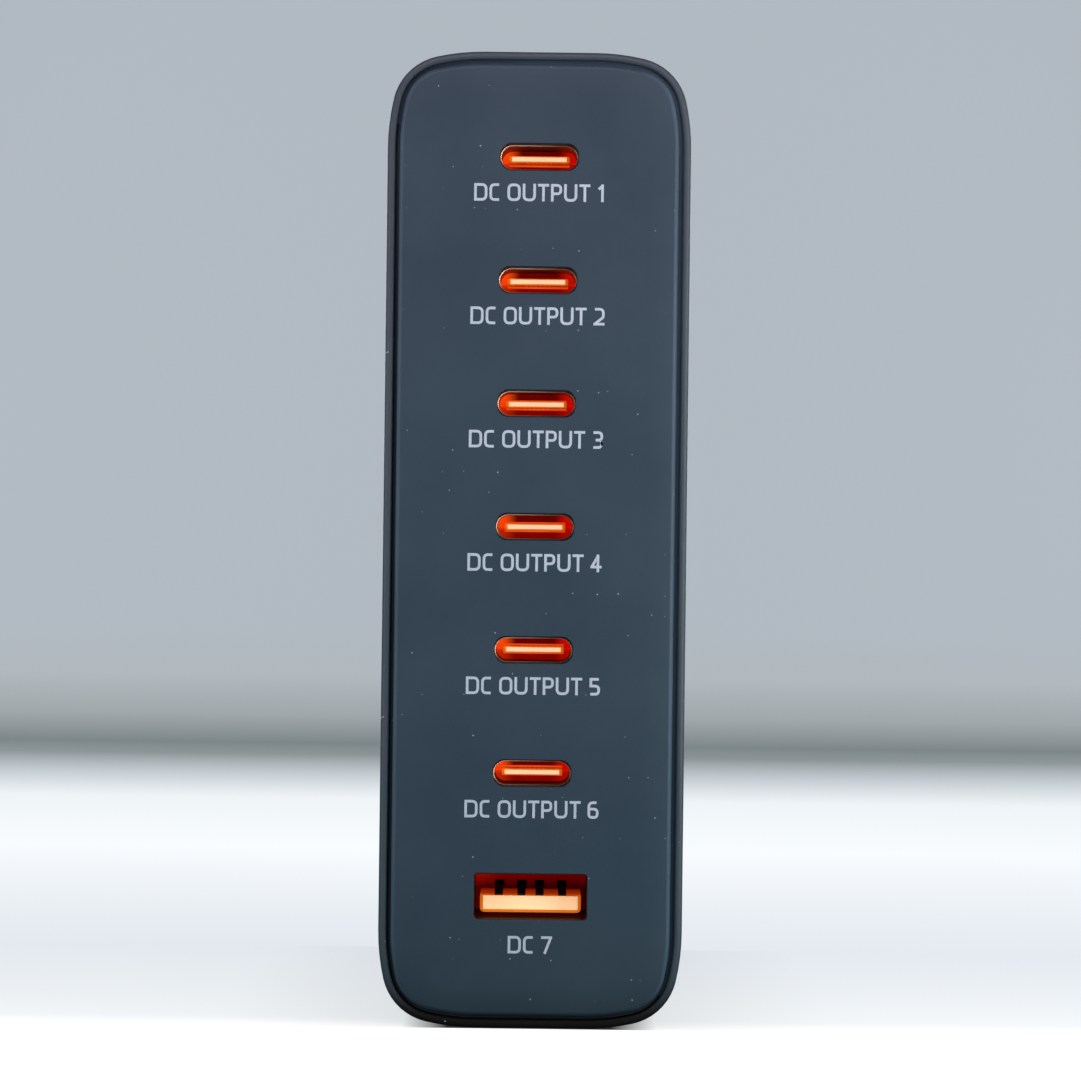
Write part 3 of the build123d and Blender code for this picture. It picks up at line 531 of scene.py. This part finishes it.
# The closing wall stands this far behind the mouth; only an oval tongue's root shows in front of it.
oval_wall, flat_wall, root_reach = 6.2 * MM, 11.8 * MM, 1.2 * MM
oval_tongues = [f"usb_c_tongue_{k}" for k in range(1, 7)]
oval_back = mouth_y + oval_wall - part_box(oval_tongues[0])[0][1]
flat_back = mouth_y + flat_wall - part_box("usb_a_tongue")[0][1]
out_of_view = 2 * flat_back
tongue_plastic("oval_tongue_orange", oval_tongues, oval_back, wall_painted_glow=(0.34, 0.003, 0.0),
               pale=(1.0, 0.46, 0.29), tip_painted_glow=(0.73, 0.48, 0.29), root_depth=oval_back - root_reach,
               painted_warm_glow=(0.30, 0.055, 0.003), painted_light_at=oval_painted_light)
tongue_plastic("flat_tongue_orange", ["usb_a_tongue"], flat_back, wall_painted_glow=(0.10, 0.0, 0.0),
               pale=(1.0, 0.54, 0.32), tip_painted_glow=(0.36, 0.22, 0.10), root_depth=out_of_view,
               painted_warm_glow=(0.15, 0.004, 0.0), painted_light_at=flat_painted_light)

# Receptacle contacts.
# Strips stamped from copper alloy and plated. In the oval ports they lie in the tongue and carry its
# orange light as a painted reflection and a painted glow; in the flat port they are springs that show
# above the tongue's tip, painted near black as painted shade.
contact = surface("contact_gold", (0.90, 0.10, 0.01), (0.95, 0.13, 0.01), (0.5, 0.6), 1200, 7000, 0.00001,
                  stretch=(1, 0.06, 1), metallic=0.2)
shaded_contact = surface("contact_dark", (0.004, 0.003, 0.002), (0.008, 0.006, 0.005), (0.55, 0.7),
                       1200, 7000, 0.00001, stretch=(1, 0.06, 1), shine=0.1)
contact_skin = contact.node_tree.nodes["Principled BSDF"]
contact_skin.inputs["Emission Color"].default_value = (0.32, 0.03, 0.0, 1)
contact_skin.inputs["Emission Strength"].default_value = 1.0
dress(contact, *[f"usb_c_contacts_{k}" for k in range(1, 7)])
dress(shaded_contact, "usb_a_contacts")

# Housing shell.
# One slate grey moulding, spark-textured all over, with a thin rounded rim at the open front end.
# It has picked up dust, and its foot is painted darker, as painted shade.

# dust_specks: scattered grains of dust, as a mask; only some cells hold one, and they differ in size.
dust_specks, ends_in, ends_out = group_of(
    "dust_specks", [("Scale", "NodeSocketFloat", 450.0), ("Share", "NodeSocketFloat", 0.2)],
    [("Mask", "NodeSocketFloat")])
across, inward, up = own_place(dust_specks)
sheared = dust_specks.nodes.new("ShaderNodeCombineXYZ")
dust_shift = 0.035
aslant = reckon(dust_specks, "ADD", reckon(dust_specks, "ADD", across, inward), dust_shift)
dust_specks.links.new(aslant, sheared.inputs["X"])
dust_specks.links.new(reckon(dust_specks, "MULTIPLY_ADD", inward, 0.6, up), sheared.inputs["Y"])
cells = add_node(dust_specks, "ShaderNodeTexVoronoi", Randomness=1.0)
cells.voronoi_dimensions = "2D"
tint = dust_specks.nodes.new("ShaderNodeSeparateColor")
dust_specks.links.new(sheared.outputs["Vector"], cells.inputs["Vector"])
dust_specks.links.new(ends_in.outputs["Scale"], cells.inputs["Scale"])
dust_specks.links.new(cells.outputs["Color"], tint.inputs["Color"])
reach = between(dust_specks, tint.outputs["Red"], 0, 1, 0.010, 0.036)
inside = reckon(dust_specks, "LESS_THAN", cells.outputs["Distance"], reach)
chosen = reckon(dust_specks, "LESS_THAN", tint.outputs["Green"], ends_in.outputs["Share"])
dust_specks.links.new(reckon(dust_specks, "MULTIPLY", inside, chosen), ends_out.inputs["Mask"])

# foot_shade: 1 from a couple of centimetres up, and falling towards the foot, by as much as Depth lets it.
foot_shade, ends_in, ends_out = group_of("foot_shade", [("Depth", "NodeSocketFloat", 1.0)],
                                         [("Shade", "NodeSocketFloat")])
across, inward, up = own_place(foot_shade)
rise_curve = foot_shade.nodes.new("ShaderNodeFloatCurve")
bend = rise_curve.mapping.curves[0]
bend.points[0].location = (0.0, 0.01)
bend.points[1].location = (1.0, 1.0)
for spot in ((0.06, 0.02), (0.13, 0.25), (0.22, 0.62), (0.40, 0.90)):
    bend.points.new(*spot)
rise_curve.mapping.update()
shade_height = 20 * MM
foot_shade.links.new(between(foot_shade, up, 0, shade_height), rise_curve.inputs["Value"])
lost = reckon(foot_shade, "SUBTRACT", rise_curve.outputs["Value"], 1.0)
kept = reckon(foot_shade, "MULTIPLY_ADD", lost, ends_in.outputs["Depth"], 1.0)
foot_shade.links.new(kept, ends_out.inputs["Shade"])

# edge_crown: how far the panel's face falls away towards its edge, in metres, and how near that edge is.
edge_crown, ends_in, ends_out = group_of("edge_crown", [("Drop", "NodeSocketFloat", 0.0003)],
                                         [("Height", "NodeSocketFloat"), ("Edge", "NodeSocketFloat")])
panel_inset, panel_corner, crown_reach = 1.35 * MM, 7.5 * MM, 3.2 * MM
across, inward, up = own_place(edge_crown)
side = reckon(edge_crown, "SUBTRACT", reckon(edge_crown, "ABSOLUTE", across),
              housing_high[0] - panel_inset - panel_corner)
off_mid_height = reckon(edge_crown, "ABSOLUTE", reckon(edge_crown, "SUBTRACT", up, mid_z))
end = reckon(edge_crown, "SUBTRACT", off_mid_height, mid_z - panel_inset - panel_corner)
corner = edge_crown.nodes.new("ShaderNodeCombineXYZ")
edge_crown.links.new(reckon(edge_crown, "MAXIMUM", side, 0.0), corner.inputs["X"])
edge_crown.links.new(reckon(edge_crown, "MAXIMUM", end, 0.0), corner.inputs["Y"])
length = edge_crown.nodes.new("ShaderNodeVectorMath")
length.operation = "LENGTH"
edge_crown.links.new(corner.outputs["Vector"], length.inputs[0])
middle = reckon(edge_crown, "MINIMUM", reckon(edge_crown, "MAXIMUM", side, end), 0.0)
beyond = reckon(edge_crown, "ADD", length.outputs["Value"], middle)
nearing = between(edge_crown, beyond, panel_corner - crown_reach, panel_corner)
edge_crown.links.new(nearing, ends_out.inputs["Edge"])
fall = reckon(edge_crown, "POWER", nearing, 2.0)
drop = reckon(edge_crown, "MULTIPLY", fall, ends_in.outputs["Drop"])
edge_crown.links.new(reckon(edge_crown, "MULTIPLY", drop, -1.0), ends_out.inputs["Height"])


def slate_plastic(name, dark, light, roughness, shine, shade_depth, dust_share,
                  face_y, hole_shade_level, step_shade_level, crown, edge_highlight):
    """Slate grey moulded plastic with mottling and dust, and painted shade towards its foot. Behind its face,
    its holes and the step at its edge get painted shade too, its side edges a painted highlight, and it is
    painted warmer high up and cooler low down."""
    material, tree = blank_material(name)
    skin = add_node(tree, "ShaderNodeBsdfPrincipled", Specular_IOR_Level=shine)
    tone = group_node(tree, uneven_tone, Scale=90.0)
    colour = ramp_node(tree, tone.outputs["Mask"], [(0, dark), (1, light)])
    shade = group_node(tree, foot_shade, Depth=shade_depth)
    across, inward, up = own_place(tree)
    edge = group_node(tree, edge_crown, Drop=crown)
    # Painted shade in the holes and on the step behind the face; the step is painted paler towards the light
    # at the top and right.
    painted_hole_shade = between(tree, inward, face_y + 0.02 * MM, face_y + 0.10 * MM, 1.0, hole_shade_level)
    rightward = reckon(tree, "DIVIDE", across, housing_high[0])
    to_light = reckon(tree, "ADD", rightward, reckon(tree, "DIVIDE", up, mid_z))
    deep = between(tree, inward, face_y + 0.30 * MM, face_y + 1.0 * MM)
    dimmed = reckon(tree, "MULTIPLY", deep, between(tree, to_light, 0.5, 2.0, 1.0 - step_shade_level, -0.8))
    step = reckon(tree, "SUBTRACT", 1.0, dimmed)
    at_edge = between(tree, edge.outputs["Edge"], 0.3, 0.6)
    recess_shade = reckon(tree, "MULTIPLY_ADD", at_edge, reckon(tree, "SUBTRACT", step, painted_hole_shade), painted_hole_shade)
    # Painted highlight on the side edges.
    lean_x = facing(tree, "Normal")[0]
    sideways = between(tree, reckon(tree, "ABSOLUTE", lean_x), 0.05, 0.6, 0.0, edge_highlight - 1.0)
    painted_edge_highlight = reckon(tree, "MULTIPLY_ADD", at_edge, sideways, 1.0)
    level = reckon(tree, "MULTIPLY", reckon(tree, "MULTIPLY", shade.outputs["Shade"], recess_shade), painted_edge_highlight)
    # Painted light: the colour is cooler low down and warmer high up.
    painted_warmth = ramp_node(tree, between(tree, up, 15 * MM, 95 * MM),
                       [(0, (0.82, 0.95, 0.94)), (1, (1.06, 0.98, 0.98))])
    tinted = tree.nodes.new("ShaderNodeVectorMath")
    tinted.operation = "MULTIPLY"
    tree.links.new(colour, tinted.inputs[0])
    tree.links.new(painted_warmth, tinted.inputs[1])
    colour = scaled(tree, tinted.outputs["Vector"], level)
    dust = group_node(tree, dust_specks, Scale=450.0, Share=dust_share)
    dusty = laid_over(tree, colour, dust.outputs["Mask"], (0.20, 0.22, 0.24))
    tree.links.new(dusty, skin.inputs["Base Color"])
    evenly = between(tree, tone.outputs["Mask"], 0, 1, roughness[0], roughness[1])
    # Rougher where the foot is in painted shade, so that no sheen shows on it.
    rougher_at_foot = reckon(tree, "MULTIPLY", reckon(tree, "SUBTRACT", 1.0, shade.outputs["Shade"]), 0.5)
    tree.links.new(reckon(tree, "ADD", evenly, rougher_at_foot), skin.inputs["Roughness"])
    crowned = add_node(tree, "ShaderNodeBump", Strength=1.0, Distance=1.0)
    tree.links.new(edge.outputs["Height"], crowned.inputs["Height"])
    finish_skin(tree, skin, grain_scale=9000.0, grain_depth=0.00003, under=crowned.outputs["Normal"])
    return material


housing = slate_plastic("housing_plastic", (0.028, 0.039, 0.054), (0.032, 0.044, 0.060), (0.42, 0.48),
                        shine=0.2, shade_depth=1.0, dust_share=0.14, face_y=rim_y,
                        hole_shade_level=0.8, step_shade_level=0.8, crown=0.0, edge_highlight=1.0)
dress(housing, "housing_shell")

# Front cover.
# A second moulding of the same plastic, welded into the rim of the housing. Its raised panel has rounded
# edges, a step all round it, and an opening for each receptacle.
panel_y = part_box("front_cover")[0][1]
panel = slate_plastic("panel_plastic", (0.019, 0.033, 0.051), (0.023, 0.038, 0.057), (0.45, 0.48),
                      shine=0.15, shade_depth=0.25, dust_share=0.15, face_y=panel_y,
                      hole_shade_level=0.04, step_shade_level=0.45, crown=0.2 * MM, edge_highlight=1.7)
dress(panel, "front_cover")

# Weld flash.
# Plastic squeezed up by the weld that holds the cover: a thin bead that fills the joint between rim and
# cover, level with the step, along the top and the right side. On the other two sides the joint is open.
def ride_on_root(name, shape, material):
    """Make a piece of the scene from a shape, in this material, on the root body."""
    bmesh.ops.recalc_face_normals(shape, faces=shape.faces)
    mesh = bpy.data.meshes.new(name)
    shape.to_mesh(mesh)
    shape.free()
    mesh.materials.append(material)
    piece = bpy.data.objects.new(name, mesh)
    bpy.context.scene.collection.objects.link(piece)
    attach(piece, "root")


flash_width = 0.165 * MM
step_depth, plate_depth, same_plane = 1.1 * MM, 2.0 * MM, 0.001 * MM
# The bead runs where the shares of the half width and the half height add up to more than this.
flash_start = 0.9
step_y, plate_back_y = panel_y + step_depth, panel_y + plate_depth
corners = [nodes["front_cover"].matrix_world @ corner.co for corner in nodes["front_cover"].data.vertices]
wall_feet = {(round(c.x, 6), round(c.z, 6)) for c in corners if abs(c.y - plate_back_y) < same_plane}
step_edge = {(round(c.x, 6), round(c.z, 6)) for c in corners if abs(c.y - step_y) < same_plane}
joint = [Vector(c) for c in step_edge & wall_feet if c[0] / housing_high[0] + c[1] / mid_z > flash_start]
joint.sort(key=lambda c: math.atan2(c.y - mid_z, c.x))
flash = bmesh.new()
rows = []
for index, place in enumerate(joint):
    along = joint[min(index + 1, len(joint) - 1)] - joint[max(index - 1, 0)]
    out = place + Vector((along.y, -along.x)).normalized() * flash_width
    section = ((place, step_y), (out, step_y), (out, plate_back_y), (place, plate_back_y))
    rows.append([flash.verts.new((spot.x, y, spot.y)) for spot, y in section])
for first, second in zip(rows, rows[1:]):
    for a, b in ((0, 1), (1, 2), (2, 3), (3, 0)):
        flash.faces.new((first[a], first[b], second[b], second[a]))
flash.faces.new(rows[0])
flash.faces.new(rows[-1])
# Its face lies at the step, so in the panel's plastic it takes the step's painted light, paler towards the
# top and right.
ride_on_root("weld_flash", flash, panel)

# Printed marks.
# A line of pale blue-grey ink under each port, pad-printed on the panel: plain words and numbers.
# Each stroke of a letter is a thin flat band of ink, and strokes that cross lie in coats of their own.
ink_thickness = 0.012 * MM
stroke = 0.29 * MM
cap_height = 1.92 * MM - stroke
letter_gap = 0.22 * MM + stroke
word_gap = 0.76 * MM + stroke
wide, narrow, bow = 1.16, 0.92, 0.42
corner_steps = 8
sharpest_mitre = 0.35

# Each letter is its width in mm and its strokes; a point is (across, up) in mm, and a third value is the
# radius of the corner there.
top = cap_height / MM
waist = 0.47 * top
half_pen = stroke / 2 / MM
letters = {
    "D": (wide, [[(0, waist), (0, 0), (wide, 0, 0.5), (wide, top, 0.5), (0, top), (0, waist)]]),
    "C": (narrow, [[(narrow, top), (0, top, 0.45), (0, 0, 0.45), (narrow, 0)]]),
    "O": (wide, [[(wide / 2, 0), (wide, 0, 0.5), (wide, top, 0.5), (0, top, 0.5), (0, 0, 0.5),
                  (wide / 2, 0)]]),
    "U": (wide, [[(0, top + half_pen), (0, 0, 0.5), (wide, 0, 0.5), (wide, top + half_pen)]]),
    "T": (narrow, [[(-half_pen, top), (narrow + half_pen, top)],
                   [(narrow / 2, top - half_pen), (narrow / 2, -half_pen)]]),
    "P": (narrow, [[(0, -half_pen), (0, top), (narrow, top, bow), (narrow, waist - 0.06, bow),
                    (half_pen, waist - 0.06)]]),
    "1": (0.42, [[(0, top - 0.38), (0.42, top)], [(0.42, top + half_pen), (0.42, -half_pen)]]),
    "2": (narrow, [[(0, top), (narrow, top, bow), (narrow, waist, 0.2), (0, 0)],
                   [(-half_pen, 0), (narrow + half_pen, 0)]]),
    "3": (narrow, [[(0, top), (narrow, top, bow), (narrow, waist + 0.04, 0.36), (0.25, waist + 0.04)],
                   [(0.25, waist + 0.04), (narrow, waist + 0.04, 0.4), (narrow, 0, bow), (0, 0)]]),
    "4": (narrow, [[(0.66, top), (0, 0.42)], [(-half_pen, 0.42), (narrow + half_pen, 0.42)],
                   [(0.66, top + half_pen), (0.66, -half_pen)]]),
    "5": (narrow, [[(narrow, top), (0.05, top), (0.05, waist + 0.12), (narrow, waist + 0.12, bow),
                    (narrow, 0, bow), (0, 0)]]),
    "6": (narrow, [[(narrow - 0.1, top), (0, top, 0.5), (0, 0, bow), (narrow, 0, bow),
                    (narrow, waist + 0.16, bow), (half_pen, waist + 0.16)]]),
    "7": (narrow, [[(-half_pen, top), (narrow + half_pen, top)], [(narrow, top), (0.25, -half_pen)]]),
}


def rounded_path(points):
    """Points of a stroke with its corners rounded where a radius is given, in metres."""
    path = [Vector(points[0][:2])]
    for before, corner, after in zip(points, points[1:], points[2:]):
        middle = Vector(corner[:2])
        if len(corner) == 2:
            path.append(middle)
            continue
        arrive = (middle - Vector(before[:2])).normalized()
        leave = (Vector(after[:2]) - middle).normalized()
        turn = arrive.angle_signed(leave)
        reach = corner[2] * math.tan(abs(turn) / 2)
        start, end = middle - arrive * reach, middle + leave * reach
        for step in range(corner_steps + 1):
            part = step / corner_steps
            path.append((1 - part) ** 2 * start + 2 * part * (1 - part) * middle + part ** 2 * end)
    path.append(Vector(points[-1][:2]))
    return [point * MM for point in path]


def lay_stroke(mesh, path, left, base, coat):
    """Add one stroke to mesh as a flat band of ink on the panel, mitred at its corners, in its own coat."""
    rows = []
    for index, point in enumerate(path):
        arrive = (point - path[index - 1]).normalized() if index else None
        leave = (path[index + 1] - point).normalized() if index + 1 < len(path) else None
        along = (arrive or leave) + (leave or arrive)
        along.normalize()
        side = Vector((-along.y, along.x))
        lean = max(sharpest_mitre, along.dot(leave or arrive))
        half = side * (stroke / 2 / lean)
        rows.append([
            mesh.verts.new((left + spot.x, panel_y - out, base + spot.y))
            for spot in (point + half, point - half) for out in (coat * ink_thickness, -ink_thickness)])
    for first, second in zip(rows, rows[1:]):
        for a, b in ((0, 2), (2, 3), (3, 1), (1, 0)):
            mesh.faces.new((first[a], first[b], second[b], second[a]))
    mesh.faces.new([rows[0][i] for i in (0, 1, 3, 2)])
    mesh.faces.new([rows[-1][i] for i in (0, 2, 3, 1)])


ink = surface("mark_ink", (0.26, 0.305, 0.38), (0.295, 0.345, 0.425), (0.6, 0.7), 900, 9000, 0.00001)


def print_mark(name, words, centre_z, drop):
    """Print words on the panel, centred, with their top this far below the middle of a port."""
    widths = [letters[c][0] * MM if c != " " else None for c in words]
    length = sum(w for w in widths if w is not None) + letter_gap * (len(words) - 1)
    length += sum(word_gap - 2 * letter_gap for w in widths if w is None)
    left = -length / 2
    base = centre_z - drop - stroke / 2 - cap_height
    mesh = bmesh.new()
    for letter, width in zip(words, widths):
        if width is None:
            left += word_gap - letter_gap
            continue
        for coat, points in enumerate(letters[letter][1], start=1):
            lay_stroke(mesh, rounded_path(points), left, base, coat)
        left += width + letter_gap
    ride_on_root(name, mesh, ink)


oval_mark_drop, flat_mark_drop = 2.95 * MM, 4.28 * MM
for k, shell in enumerate(oval_shells, start=1):
    print_mark(f"mark_{k}", f"DC OUTPUT {k}", port_middle(shell), oval_mark_drop)
print_mark("mark_7", "DC 7", port_middle("usb_a_shell"), flat_mark_drop)
